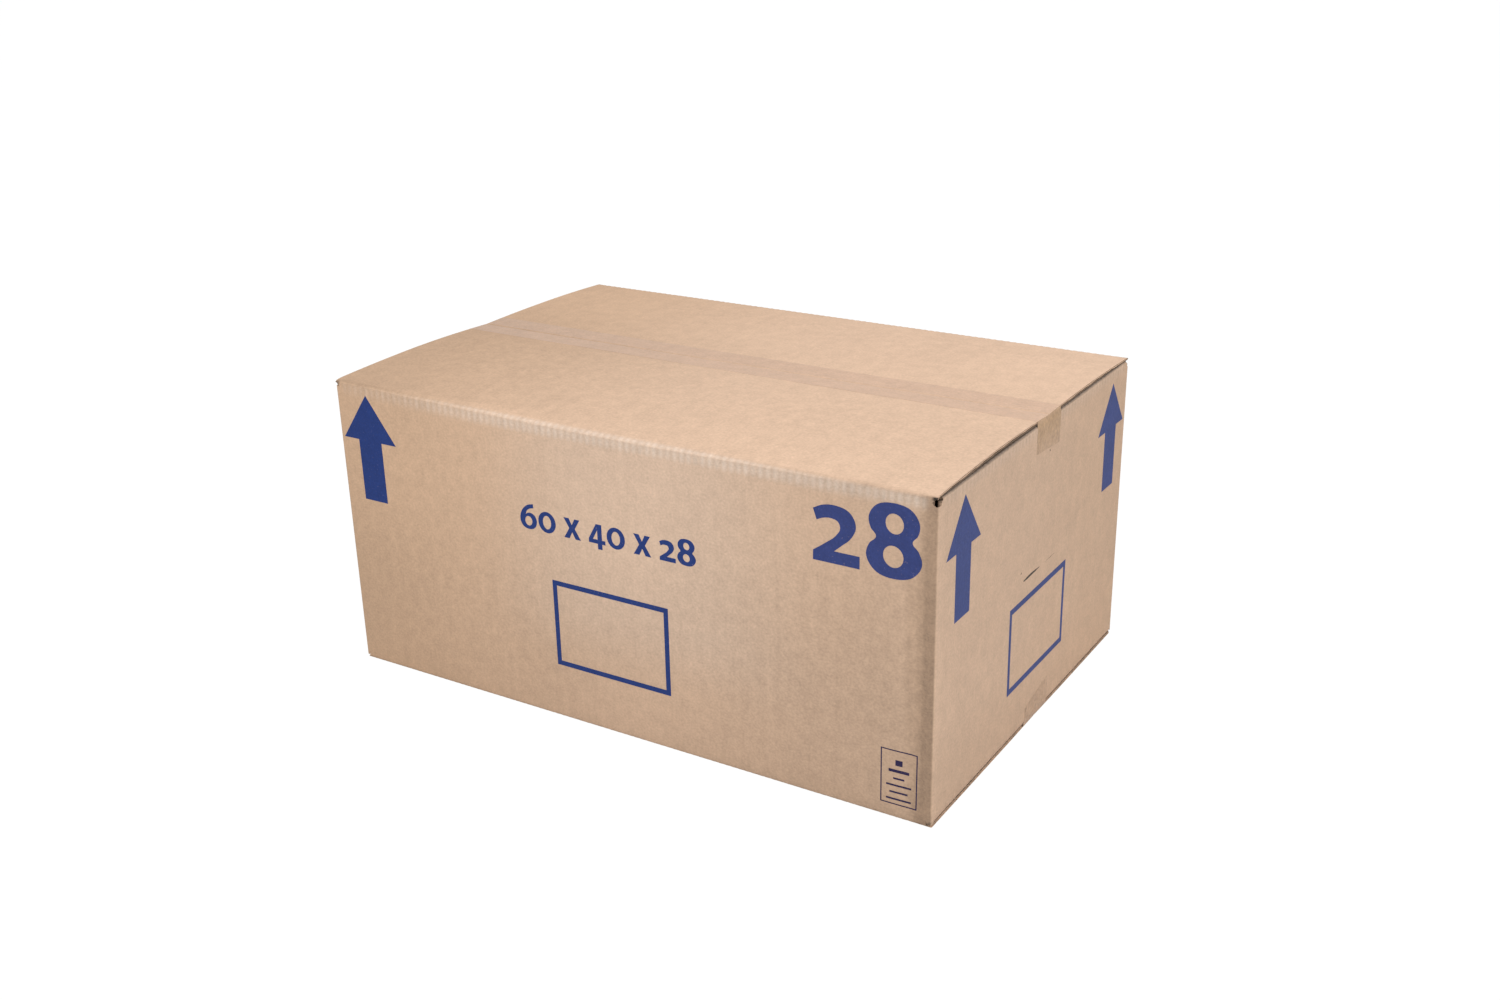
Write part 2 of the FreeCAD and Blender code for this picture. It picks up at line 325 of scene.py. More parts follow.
def flap_rows(kind, end, side):
    """From the hole row over the crease to a flap's free edge, keyed."""
    (meets, radius, steps, arc_rib), (skipped, low, high, rib), (crush, reach) = FOLDS[kind, end]
    hole, sign = (HIGH_HOLE_Z, 1) if end == "top" else (LOW_HOLE_Z, -1)
    apex = Vector((0.0, flap_height(kind, end, side, 0.0)))
    stop = (meets, flap_height(kind, end, side, meets))
    rows = [Row(inward, height, True, arc_rib)
            for inward, height in fillet((0.0, hole), apex, stop, radius, steps)]
    if kind == "major" and end == "top":
        rows.insert(0, Row(0.0, HIGH_HOLE_Z + LID_FIRST_ROW, True, 1.0))
    for inward in FINE_REACH[skipped:]:
        height = flap_height(kind, end, side, inward)
        rows.append(Row(inward, height, True, rib * (1 - smooth(low, high, inward))))
    depth = flap_depth(side) if kind == "major" else MINOR_DEPTH
    for share in COARSE_SHARES[kind]:
        inward = FINE_REACH[-1] + (depth - FINE_REACH[-1]) * share
        rows.append(Row(inward, flap_height(kind, end, side, inward), False))

    points = [Vector((0.0, hole))] + [Vector((row.inward, row.height)) for row in rows]
    travel = hole
    for index, row in enumerate(rows):
        before = points[index]
        after = points[min(index + 2, len(points) - 1)]
        run = (after - before).normalized()
        row.normal = (run.y * sign, run.x * sign)
        travel += sign * (points[index + 1] - before).length
        row.travel = travel
        row.thickness = BOARD - crush * math.exp(-(points[index + 1] - apex).length / reach)
    return [((end, index), row) for index, row in enumerate(rows)]


def wall_rows():
    """The rows of a wall between its holes, keyed alike all round."""
    rows = [Row(0.0, height, True, 0.3 * (1 - smooth(7.0, 16.0, height)))
            for height in WALL_FINE_LOW]
    rows += [Row(0.0, height, False) for height in WALL_COARSE]
    rows += [Row(0.0, height, True, smooth(264.0, 273.0, height)) for height in WALL_FINE_HIGH]
    return [(("wall", index), row) for index, row in enumerate(rows)]


def all_rows(kind, side):
    return flap_rows(kind, "bottom", side)[::-1] + wall_rows() + flap_rows(kind, "top", side)


# The blank, folded column by column

class Column:
    """A line along the flutes: its place in plan, its outward side and its travel."""

    def __init__(self, place, outward, across, travel, coarse, phase=0.0):
        self.place, self.outward, self.across = place, outward, across
        self.onward = Vector((-outward.y, outward.x))
        self.travel, self.coarse, self.phase = travel, coarse, phase
        self.hole = None
        self.end_side = 0
        self.hole_size = 1.0
        self.rib = 0.0
        self.inset = 0.0


def hole_height(column, height):
    """Moves a corner's rows: a round hole above, and a corner drawn nearly shut below."""
    offset = column.hole
    if height > WALL_FINE_HIGH[0]:
        across = offset * HOLE_SPREAD if offset * column.end_side > 0 else offset
        drop = column.hole_size * math.sqrt(max(0.0, HOLE_RADIUS ** 2 - across ** 2))
        share = (height - WALL_FINE_HIGH[0]) / (HIGH_HOLE_Z - WALL_FINE_HIGH[0])
        return WALL_FINE_HIGH[0] + share * (HIGH_HOLE_Z - drop - WALL_FINE_HIGH[0])
    if height < WALL_FINE_LOW[-1]:
        drop = math.sqrt(max(0.0, HOLE_RADIUS ** 2 - offset ** 2))
        share = (WALL_FINE_LOW[-1] - height) / (WALL_FINE_LOW[-1] - LOW_HOLE_Z)
        return height - share * LOW_HOLE_FALL * drop / HOLE_RADIUS
    return height


class Sheet:
    """Collects the folded blank's points and faces, and the marks that its finish reads."""

    def __init__(self):
        self.points, self.travels, self.faces, self.hollows = [], [], [], []
        # The cut mark, read by the board's finish, paints shade on the board's inside and deep in
        # its cut edges' hollows
        self.marks = {"rib": [], "phase": [], "cut": []}
        self.outer, self.inner, self.columns = {}, {}, []

    def column(self, *values):
        self.columns.append(Column(*values))
        return self.columns[-1], len(self.columns) - 1

    def point(self, place, travel, **marks):
        self.points.append(place)
        self.travels.append(travel)
        for name, values in self.marks.items():
            values.append(marks.get(name, 0.0))
        return len(self.points) - 1

    def add(self, number, key, row, flare):
        """The outer and inner point where a column crosses a row."""
        column = self.columns[number]
        if (number, key) in self.outer or not (row.fine or column.coarse):
            return
        at_hole = column.hole is not None
        height = row.height
        if at_hole and key[0] == "wall":
            height = hole_height(column, height)
        height += column.inset * (1 if height < LONG_CREASE_Z / 2 else -1)
        out, up = row.normal
        normal = Vector((column.outward.x * out, column.outward.y * out, up))
        place = Vector((column.place.x - column.outward.x * row.inward,
                        column.place.y - column.outward.y * row.inward, height))
        place += column.onward.to_3d() * flare
        travel = (column.travel + flare, row.travel)
        self.outer[number, key] = self.point(handled(place), travel, rib=row.rib * column.rib,
                                             phase=column.phase)
        if column.coarse:
            crushed = HOLE_CRUSH * smooth(262.0, 272.0, height) if at_hole else 0.0
            inside = place - normal * (row.thickness - crushed)
            # The inner points' cut mark paints shade: full at the top folds, 0.6 at the corner
            # holes and 0.5 elsewhere
            by_fold = key[0] == "top" and key[1] < 4
            cut = 0.6 if at_hole else 1.0 if by_fold else 0.5
            self.inner[number, key] = self.point(handled(inside), travel, cut=cut)

    def skin(self, numbers, keyed):
        """Outer and inner faces between neighbouring coarse columns."""
        groups, group = [], [numbers[0]]
        for number in numbers[1:]:
            group.append(number)
            if self.columns[number].coarse:
                groups.append(group)
                group = [number]
        for (low, low_row), (high, high_row) in zip(keyed, keyed[1:]):
            for group in groups:
                ends = (group[0], group[-1])
                self.faces.append([self.inner[ends[0], low], self.inner[ends[0], high],
                                   self.inner[ends[1], high], self.inner[ends[1], low]])
                if low_row.fine and high_row.fine:
                    for one, two in zip(group, group[1:]):
                        self.faces.append([self.outer[one, low], self.outer[two, low],
                                           self.outer[two, high], self.outer[one, high]])
                else:
                    lower = group if low_row.fine else ends
                    upper = group if high_row.fine else ends
                    self.faces.append([self.outer[number, low] for number in lower]
                                      + [self.outer[number, high] for number in reversed(upper)])

    def plain_rim(self, crossings, forward):
        """Closes the sheet's edge with one face per step."""
        for one, two in zip(crossings, crossings[1:]):
            face = [self.outer[one], self.outer[two], self.inner[two], self.inner[one]]
            self.faces.append(face if forward else face[::-1])

    def channel_rim(self, crossings, forward, into, depth):
        """Closes an edge that runs along the flutes: two liners with a hollow between."""
        steps = [(self.outer[crossing], self.inner[crossing]) for crossing in crossings]
        rungs, middle = [], []
        inward = into.to_3d()
        recess = inward * depth
        # Painted shade in the hollow: the cut mark darkens it towards its back, more the deeper it
        # runs
        dark = min(1.0, depth / CHANNEL_DEPTH)
        for out, back in steps[:5]:
            self.marks["cut"][out] = 0.7 * dark
        for out, back in steps[1:-1]:
            start, end = self.points[out], self.points[back]
            gap = (end - start).length
            share = LINER * min(1.0, gap / BOARD) / gap
            edges = (start.lerp(end, share), start.lerp(end, 1 - share))
            corners = ((edges[0], 0.7), (edges[0] + recess, 1.0), (edges[1] + recess, 1.0),
                       (edges[1], 0.7))
            rungs.append([out] + [self.point(place, self.travels[out], cut=cut * dark)
                                  for place, cut in corners] + [back])
            room = (edges[1] - edges[0]).length / 2 - STRIP_PAPER / 2 - STRIP_ROOM
            set_back = STRIP_DEPTH / 2 + STRIP_SET_BACK
            middle.append((start.lerp(end, 0.5) + inward * set_back, room))
        if depth > STRIP_DEPTH + 0.5:
            self.hollows.append(middle[3:])
        first, last = rungs[0], rungs[-1]
        made = [[steps[0][0], first[0], first[1], first[4], first[5], steps[0][1]], first[1:5]]
        for one, two in zip(rungs, rungs[1:]):
            made += [[one[k], two[k], two[k + 1], one[k + 1]] for k in range(5)]
        made.append(last[4:0:-1])
        made.append([last[0], steps[-1][0], steps[-1][1], last[5], last[4], last[1]])
        self.faces += [face if forward else face[::-1] for face in made]


def turned(direction):
    """The outward side of a wall that runs this way round the carton."""
    return Vector((direction.y, -direction.x))


def corner_columns(sheet, center, direction, travel, hole_size):
    """Columns round an upright corner, by the slot's round end. Direction is the wall before."""
    after = Vector((-direction.y, direction.x))
    numbers = []
    for step in range(1, CORNER_STEPS):
        offset = -HOLE_RADIUS * math.cos(math.pi * step / CORNER_STEPS)
        angle = min(QUARTER, max(0.0, offset + QUARTER / 2)) / CORNER_RADIUS
        outward = turned(direction) * math.cos(angle) + turned(after) * math.sin(angle)
        place = center + outward * CORNER_RADIUS
        if offset < -QUARTER / 2:
            place += direction * (offset + QUARTER / 2)
        if offset > QUARTER / 2:
            place += after * (offset - QUARTER / 2)
        column, number = sheet.column(place, outward, 0.0, travel + offset, True)
        column.hole = offset
        column.end_side = 1 if abs(after.y) > 0.5 else -1
        column.hole_size = hole_size
        numbers.append(number)
    return numbers


def panel_columns(sheet, start, direction, length, travel, flutes, rib_ends):
    """Columns of a flat panel between two slots, on the flutes and between them."""
    numbers = []
    total = flutes * FINE_PER_FLUTE
    for step in range(total + 1):
        gone = length * step / total
        column, number = sheet.column(start + direction * gone, turned(direction), gone,
                                      travel + gone, step % FINE_PER_FLUTE == 0,
                                      step / FINE_PER_FLUTE)
        column.rib = (smooth(rib_ends, rib_ends + 9.0, gone)
                      * smooth(rib_ends, rib_ends + 9.0, length - gone))
        numbers.append(number)
    return numbers


def flap_flare(row_key, gone, length, reach_start, reach_end):
    """How far a flap's side edge stands out past its slot's round end."""
    if row_key[0] == "wall":
        return 0.0
    on_top = row_key[0] == "top"
    share = min(1.0, (row_key[1] + on_top) / 4)
    retreat = min(1.0, row_key[1] + 0.6) if on_top else share
    start = -reach_start * (1 - smooth(0.0, FLARE_SPAN, gone))
    end = reach_end * smooth(length - FLARE_SPAN, length, gone)
    return start * (share if reach_start > 0 else retreat) + end * (share if reach_end > 0
                                                                    else retreat)


def fold_blank(pitch):
    """The whole sheet: tab, left end, front, right end and rear, with all their flaps."""
    sheet = Sheet()
    straight_x = HALF_LENGTH - CORNER_RADIUS
    straight_y = HALF_WIDTH - CORNER_RADIUS
    reach_x, reach_y = straight_x - PAST_ARC, straight_y - PAST_ARC
    west, east = Vector((-1, 0)), Vector((1, 0))
    south, north = Vector((0, -1)), Vector((0, 1))
    long_flutes = round(2 * reach_x / pitch)
    short_flutes = round(2 * reach_y / pitch)
    major_flare = MAJOR_END_X - reach_x
    minor_flare = MINOR_SIDE_Y - reach_y

    # The tab and the first corner lie one board's thickness inside the rear wall
    tab_y = HALF_WIDTH - BOARD - TAB_CLEARANCE
    left_y = tab_y - CORNER_RADIUS - PAST_ARC
    tab_start = Vector((-HALF_LENGTH + TAB_WIDTH, tab_y))
    tab_length = tab_start.x + reach_x
    tab = []
    for share, inset in TAB_STEPS:
        column, number = sheet.column(tab_start + west * tab_length * share, north, 0.0,
                                      tab_length * share, True)
        column.inset = inset
        tab.append(number)

    # Each wall: the corner before it, its start, direction and length, its flaps, how far
    # they flare at each end, its flutes and where its ribs begin
    walls = (
        ((-straight_x, tab_y - CORNER_RADIUS), (-HALF_LENGTH, left_y), south, left_y + reach_y,
         ("minor", LEFT), (MINOR_SIDE_Y - left_y, minor_flare), short_flutes, 2.0),
        ((-straight_x, -straight_y), (-reach_x, -HALF_WIDTH), east, 2 * reach_x,
         ("major", FRONT), (major_flare, major_flare), long_flutes, 0.0),
        ((straight_x, -straight_y), (HALF_LENGTH, -reach_y), north, 2 * reach_y,
         ("minor", RIGHT), (minor_flare, minor_flare), short_flutes, 2.0),
        ((straight_x, straight_y), (reach_x, HALF_WIDTH), west, reach_x - RAW_EDGE_X,
         ("major", REAR), (major_flare, 0.0), long_flutes, 0.0))
    travel = tab_length + HOLE_RADIUS
    before, numbers = west, tab
    panels, rounds = [], [tab]
    for center, start, direction, length, flaps, flares, flutes, rib_ends in walls:
        hole_size = SHUT_HOLE if flaps == ("major", FRONT) else 1.0
        corner = corner_columns(sheet, Vector(center), before, travel, hole_size)
        travel += HOLE_RADIUS
        ring = [numbers[-1]] + corner
        numbers = panel_columns(sheet, Vector(start), direction, length, travel, flutes, rib_ends)
        rounds.append(ring + [numbers[0]])
        panels.append((numbers, all_rows(*flaps), length, flares))
        travel += length + HOLE_RADIUS
        before = direction

    for numbers, keyed, length, flares in panels:
        for key, row in keyed:
            for number in numbers:
                gone = sheet.columns[number].across
                sheet.add(number, key, row, flap_flare(key, gone, length, *flares))
        sheet.skin(numbers, keyed)
    wall = wall_rows()
    for ring in rounds:
        for key, row in wall:
            for number in ring:
                sheet.add(number, key, row, 0.0)
        sheet.skin(ring, wall)
    low, high = wall[0][0], wall[-1][0]
    for ring in rounds:
        sheet.plain_rim([(number, high) for number in ring], True)
        sheet.plain_rim([(number, low) for number in ring], False)
    sheet.plain_rim([(tab[0], key) for key, row in wall], True)
    close_flaps(sheet, panels, low, high)
    return sheet


def close_flaps(sheet, panels, wall_foot, wall_head):
    """Free edges, side edges with their open flutes, and the rear panel's raw end."""
    for panel in panels:
        numbers, keys = panel[0], [key for key, row in panel[1]]
        coarse = [number for number in numbers if sheet.columns[number].coarse]
        sheet.plain_rim([(number, keys[-1]) for number in coarse], True)
        sheet.plain_rim([(number, keys[0]) for number in coarse], False)
        high = (keys[keys.index(wall_head):], CHANNEL_DEPTH)
        low = (keys[:keys.index(wall_foot) + 1], LOW_CHANNEL_DEPTH)
        onward = sheet.columns[numbers[0]].onward
        raw_end = panel is panels[-1]
        for number, forward, runs in ((numbers[0], True, (high, low)),
                                      (numbers[-1], False, ((keys, CHANNEL_DEPTH),) if raw_end
                                       else (high, low))):
            for run, depth in runs:
                sheet.channel_rim([(number, key) for key in run], forward,
                                  onward if forward else -onward, depth)


# Meshes

def link(name, mesh):
    thing = bpy.data.objects.new(name, mesh)
    bpy.context.scene.collection.objects.link(thing)
    return thing


def mesh_from(name, points, faces, sharp_angle=None):
    """A mesh in metres from points in millimetres."""
    mesh = bpy.data.meshes.new(name)
    mesh.from_pydata([tuple(point * MM) for point in points], [], faces)
    mesh.validate()
    if sharp_angle is not None:
        mesh.shade_smooth()
        mesh.set_sharp_from_angle(angle=sharp_angle)
    return mesh


def settle(thing, slot, *nodes):
    """Lets a finished piece ride on the carton's body and stand for its nodes."""
    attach(thing, BODY)
    if nodes:
        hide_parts(*nodes)


def surface_of(name):
    """A finished piece's mesh as a tree for casting rays."""
    return BVHTree.FromObject(bpy.data.objects[name], bpy.context.evaluated_depsgraph_get())


# Node trees

class Link:
    """A node's output; the usual operators add Math nodes."""

    def __init__(self, graph, socket):
        self.graph, self.socket = graph, socket

    def __add__(self, other):
        return self.graph.math("ADD", self, other)

    def __sub__(self, other):
        return self.graph.math("SUBTRACT", self, other)

    def __rsub__(self, other):
        return self.graph.math("SUBTRACT", other, self)

    def __mul__(self, other):
        return self.graph.math("MULTIPLY", self, other)

    def __abs__(self):
        return self.graph.math("ABSOLUTE", self)

    __radd__ = __add__
    __rmul__ = __mul__


class Graph:
    """Adds nodes to a shader or geometry tree."""

    def __init__(self, tree):
        self.tree = tree

    def put(self, socket, value):
        if isinstance(value, Link):
            self.tree.links.new(value.socket, socket)
        else:
            socket.default_value = value

    def node(self, kind, settings=None, **sockets):
        """A node with its settings made first and then its sockets, by name or by number."""
        made = self.tree.nodes.new(kind)
        for name, value in (settings or {}).items():
            setattr(made, name, value)
        for name, value in sockets.items():
            key = int(name[1:]) if name[0] == "_" else name.replace("_", " ")
            self.put(made.inputs[key], value)
        return made

    def take(self, kind, output=0, settings=None, **sockets):
        """One output of a new node."""
        return Link(self, self.node(kind, settings, **sockets).outputs[output])

    def math(self, operation, one, two=0.0):
        return self.take("ShaderNodeMath", 0, {"operation": operation}, _0=one, _1=two)

    def scaled(self, vector, x, y, z):
        return self.take("ShaderNodeVectorMath", 0, {"operation": "MULTIPLY"}, _0=vector,
                         _1=(x, y, z))

    def lit(self, colour, gain):
        colour = colour if isinstance(colour, Link) else tuple(colour)[:3]
        return self.take("ShaderNodeVectorMath", 0, {"operation": "SCALE"}, _0=colour, Scale=gain)

    def noise(self, vector, scale, detail=2.0):
        """Noise about zero, from about -1 to 1."""
        made = self.take("ShaderNodeTexNoise", "Fac", Vector=vector, Scale=scale, Detail=detail)
        return (made - 0.5) * 2.0

    def ramp(self, value, low, high):
        return self.take("ShaderNodeMapRange", 0, {"interpolation_type": "SMOOTHSTEP"},
                         Value=value, From_Min=low, From_Max=high)

    def fall(self, value, low, high):
        return 1.0 - self.ramp(value, low, high)

    def mix(self, factor, one, two):
        return self.take("ShaderNodeMix", 2, {"data_type": "RGBA"}, _0=factor, _6=one, _7=two)

    def axes(self, vector):
        made = self.node("ShaderNodeSeparateXYZ", Vector=vector)
        return [Link(self, made.outputs[name]) for name in "XYZ"]

    def field(self, name):
        """A number that the mesh carries, in a geometry tree."""
        return self.take("GeometryNodeInputNamedAttribute", 0, {"data_type": "FLOAT"}, Name=name)


class Finish(Graph):
    """A new material's nodes, round its Principled shader."""

    def __init__(self, name):
        self.material = bpy.data.materials.new(name)
        self.material.use_nodes = True
        super().__init__(self.material.node_tree)
        self.shader = self.tree.nodes["Principled BSDF"]

    def kraft(self):
        """Place on the object, and light and dark of the liner: clouds, mottling and fibres."""
        place = self.take("ShaderNodeTexCoord", "Object")
        clouds = self.noise(place, 9.0, 3.0) * 0.070
        mottle = self.noise(place, 95.0, 3.0) * 0.130
        grain = self.noise(place, 480.0, 2.0) * 0.180
        return place, clouds + mottle + grain

    def feed(self, **inputs):
        for name, value in inputs.items():
            self.put(self.shader.inputs[name.replace("_", " ")], value)

    def bump(self, height, distance):
        self.feed(Normal=self.take("ShaderNodeBump", "Normal", Height=height, Distance=distance))


def board_material():
    """Kraft liner with fibres, faint flute streaks and pale, rubbed rib crests, with painted light
    and shade by the folds, on the front and lid, and in the cut edges.
    """
    scene = bpy.context.scene
    colours = scene.carton_colours
    paint = Finish("kraft_board")
    ramp, fall, scaled = paint.ramp, paint.fall, paint.scaled
    place, tone = paint.kraft()
    blank = paint.take("ShaderNodeUVMap", "UV", {"uv_map": "blank"})
    crest, cut, pressed = (paint.take("ShaderNodeAttribute", "Fac", {"attribute_name": name})
                           for name in ("crest", "cut", "rib"))
    fibres = paint.noise(scaled(blank, 1.0, 5.0, 1.0), 260.0, 3.0)
    streaks = paint.noise(scaled(blank, 1.0, 0.03, 1.0), 150.0, 2.0)
    specks = ramp(paint.noise(place, 420.0, 1.0), 0.52, 0.66)
    pale_specks = ramp(paint.noise(scaled(place, 1.0, 1.0, 1.7), 350.0, 1.0), 0.5, 0.68)
    wander = paint.noise(scaled(place, 0.0, 0.0, 1.0), 18.0, 3.0)

    # Faces of the carton, and places along its folds
    x, y, z = paint.axes(place)
    sideways = abs(x)
    front = fall(y, *FRONT_EDGE)
    on_lid = ramp(z, *LID_EDGE)
    on_end = ramp(sideways, *END_EDGE)
    low_end = on_end * ramp(0.10 - z, 0.0, 0.07)
    belly = ramp(z, -0.06, 0.08) * fall(z, 0.20, 0.275)
    # Painted shade: a darker, browner band on the front before the right fold
    painted_shade_before_fold = ramp(x + wander * 0.002 + belly * 0.010, 0.281, 0.2955) * front
    # Painted highlight: a lighter strip on the right end just past the front fold
    painted_highlight_past_fold = ramp(x, 0.2990, 0.2997) * fall(y, -0.1950, -0.1850)
    low_fold = ramp(0.0070 - z, 0.0, 0.0025) * ramp(sideways, 0.2900, 0.2965)
    # Painted shade along the lid's front fold, which dims the highlight there
    painted_shade_on_crest = ramp(z, 0.2760, 0.2778) * fall(y, -0.1985, -0.1945)
    # Painted shadow on the ends' top folds, under the lid's edge
    painted_shadow_under_lid = ramp(z, 0.2748, 0.2766) * ramp(sideways, 0.2930, 0.2965)

    # Light and dark: the liner's tone, fibres, streaks and specks, and painted light and shade
    # Painted shade over the front: darker towards the right and towards the bottom
    painted_front_shade = front * (ramp(x, 0.02, 0.27) * 0.12 + ramp(0.3 - z, 0.06, 0.22) * 0.10)
    # Painted light and shade on the lid: lighter towards the rear, darker towards the front left
    painted_lid_light_and_shade = (ramp(y, -0.06, 0.16) * 0.07
                - ramp(0.05 - x, 0.0, 0.34) * fall(y, -0.02, 0.12) * 0.11)
    # Painted shade before the right fold, under the lid on the ends, over the front, on the lid's
    # front left and crest; painted light past the fold and on the lid's rear
    gain = (1.0 + tone + fibres * 0.100 + streaks * 0.045 - specks * 0.14 + pale_specks * 0.10
            - painted_shade_before_fold * (0.25 + wander * 0.05) + painted_highlight_past_fold * 0.05 - painted_front_shade + on_lid * painted_lid_light_and_shade
            - painted_shadow_under_lid * (1.0 - on_lid) * 0.55 + low_fold * (tone * 2.5 - 0.04)
            # Painted shade in the rib troughs
            - (pressed - crest) * 0.07 - painted_shade_on_crest * 0.10
            + low_end * (ramp(y, -0.19, 0.16) * 0.13 - 0.08))

    # Browner and paler parts of the liner, partly painted shade and painted light
    # Browner towards the left and in the band before the right fold, both painted shade
    warm = (ramp(0.3 - x, 0.25, 0.60) * 0.9 * (1.0 - on_end)
            + on_end * ramp(y, -0.12, 0.20) * 0.45 + painted_shade_before_fold * 0.6 + low_end * 0.2)
    worn = ramp(x, -0.30, -0.06)
    rubbed = ((pressed * (worn * 0.35 + 0.05) + crest * (worn * 0.16 + 0.20))
              * fall(z, 0.2762, 0.2784) * ramp(z, 0.10, 0.20) * (1.0 - on_end * 0.75))
    # Painted light: a paler pool on the middle of the front
    pale = (front * ramp(x, -0.16, -0.02) * fall(x, 0.08, 0.22) * ramp(z, 0.05, 0.12) * 0.22)
    liner = paint.mix(warm, colours.kraft, colours.warm_kraft)
    # The rubbed colour paints the rubbed rib crests and this painted light alike
    liner = paint.mix(paint.math("MAXIMUM", rubbed, pale), liner, colours.rubbed)
    # Painted shade: the raw edge colour darkened to about a sixth, laid where the cut mark lies
    raw = paint.lit(colours.raw_edge, 0.17 + tone * 0.3)
    paint.feed(Base_Color=paint.mix(cut, paint.lit(liner, gain), raw),
               Roughness=0.84 + tone * 0.5, Specular_IOR_Level=0.35)
    turns = paint.axes(blank)[0] * (2 * math.pi / scene.carton_sizes.flute_pitch)
    flute = paint.math("COSINE", turns)
    paint.bump(flute * 0.030 + fibres * 0.035 + tone * 0.5 + streaks * 0.04, 0.0006)
    return paint.material


def tape_material():
    """Hazy tan film: the board shows through, a little greyer, with fine wrinkles."""
    colours = bpy.context.scene.carton_colours
    paint = Finish("packing_tape")
    ramp, scaled = paint.ramp, paint.scaled
    place, tone = paint.kraft()
    x, y, z = paint.axes(place)
    wander = paint.noise(scaled(place, 1.0, 0.1, 0.1), 30.0, 2.0) * 0.0004
    seam = paint.fall(abs(y + wander - SEAM_Y * MM), 0.0004, 0.0014)
    broken = ramp(paint.noise(place, 60.0, 3.0), -0.5, 0.6)
    haze = paint.noise(scaled(place, 1.0, 3.0, 1.0), 160.0, 4.0)
    hanging = ramp(abs(x), 0.2975, 0.2998)
    grain = paint.noise(place, 270.0, 3.0)
    # Painted shade: the tape darker towards its left end
    gain = (1.0 + tone + haze * 0.10 - seam * broken * 0.13 + hanging * grain * 0.34
            - ramp(0.05 - x, 0.05, 0.34) * 0.09)
    strength = (0.55 * ramp(z, 0.05, 0.20)
                - 0.45 * (ramp(z, 0.20, 0.24) - ramp(z, 0.248, 0.272)) + 0.45)
    film_colour = paint.mix(hanging * strength, colours.tape, colours.tape_end)
    paint.feed(Base_Color=paint.lit(film_colour, gain), Roughness=0.50 + haze * 0.12,
               Specular_IOR_Level=0.32)
    wrinkles = paint.noise(scaled(place, 0.35, 1.0, 1.0), 240.0, 3.0)
    paint.bump(wrinkles * 0.3 + haze * 0.15, 0.0004)
    return paint.material


def ink_material(name, colour, density, fade=0.0):
    """Printing ink, thinner where the liner's fibres stand up, and paler to the right."""
    paint = Finish(name)
    place, tone = paint.kraft()
    thin = paint.ramp(paint.noise(place, 520.0, 2.0), 0.25, 0.75)
    cover = density - thin * 0.22 - paint.ramp(paint.axes(place)[0], 0.15, 0.21) * fade
    ink = paint.lit(colour, 1.0 + tone * 1.4)
    kraft = paint.lit(bpy.context.scene.carton_colours.kraft, 1.0 + tone)
    paint.feed(Base_Color=paint.mix(cover, kraft, ink), Roughness=0.72 + tone * 0.3,
               Specular_IOR_Level=0.2)
    paint.bump(paint.noise(place, 300.0, 3.0), 0.0002)
    return paint.material


def fluting_material():
    """Cut paper of the fluting, in the raw edge colour painted almost twice as light: painted
    light against the painted shade of the hollow behind it.
    """
    paint = Finish("cut_paper")
    place, tone = paint.kraft()
    colour = bpy.context.scene.carton_colours.raw_edge
    # Painted light: the raw edge colour nearly doubled
    paint.feed(Base_Color=paint.lit(colour, 1.90 + tone * 2.0), Roughness=0.9)
    return paint.material


def scuff_material():
    """Dirt rubbed into the liner, and the dark line on the bottom tape."""
    paint = Finish("dark_scuff")
    place, tone = paint.kraft()
    patchy = paint.ramp(paint.noise(place, 420.0, 3.0), -0.95, -0.15)
    kraft = paint.lit(bpy.context.scene.carton_colours.kraft, 0.85 + tone)
    dirt = paint.lit(DIRT, 1.0 + tone)
    paint.feed(Base_Color=paint.mix(patchy * 0.95, kraft, dirt), Roughness=0.88 + tone * 0.2)
    return paint.material


# Geometry nodes

def new_geometry_tree(name, sockets):
    """A tree with a geometry in and out and named number inputs."""
    tree = bpy.data.node_groups.new(name, "GeometryNodeTree")
    for way in ("INPUT", "OUTPUT"):
        tree.interface.new_socket(name="Geometry", in_out=way,
                                  socket_type="NodeSocketGeometry")
    for label, value in sockets.items():
        kind = "NodeSocketMaterial" if label == "Material" else "NodeSocketFloat"
        socket = tree.interface.new_socket(name=label, in_out="INPUT", socket_type=kind)
        if label != "Material":
            socket.default_value = value
    graph = Graph(tree)
    entry = graph.node("NodeGroupInput")
    return tree, graph, {socket.name: Link(graph, socket) for socket in entry.outputs
                         if socket.name}


def end_tree(graph, geometry, material):
    real = graph.take("GeometryNodeRealizeInstances", Geometry=geometry)
    painted = graph.take("GeometryNodeSetMaterial", Geometry=real, Material=material)
    graph.node("NodeGroupOutput", Geometry=painted)


def run_tree(thing, tree, values):
    """Sets a tree's inputs by identifier and makes its result the object's mesh."""
    modifier = thing.modifiers.new(tree.name, "NODES")
    modifier.node_group = tree
    for item in tree.interface.items_tree:
        if item.in_out == "INPUT" and item.name in values:
            modifier[item.identifier] = values[item.name]
    graph = bpy.context.evaluated_depsgraph_get()
    mesh = bpy.data.meshes.new_from_object(thing.evaluated_get(graph), depsgraph=graph)
    thing.modifiers.clear()
    thing.data = mesh


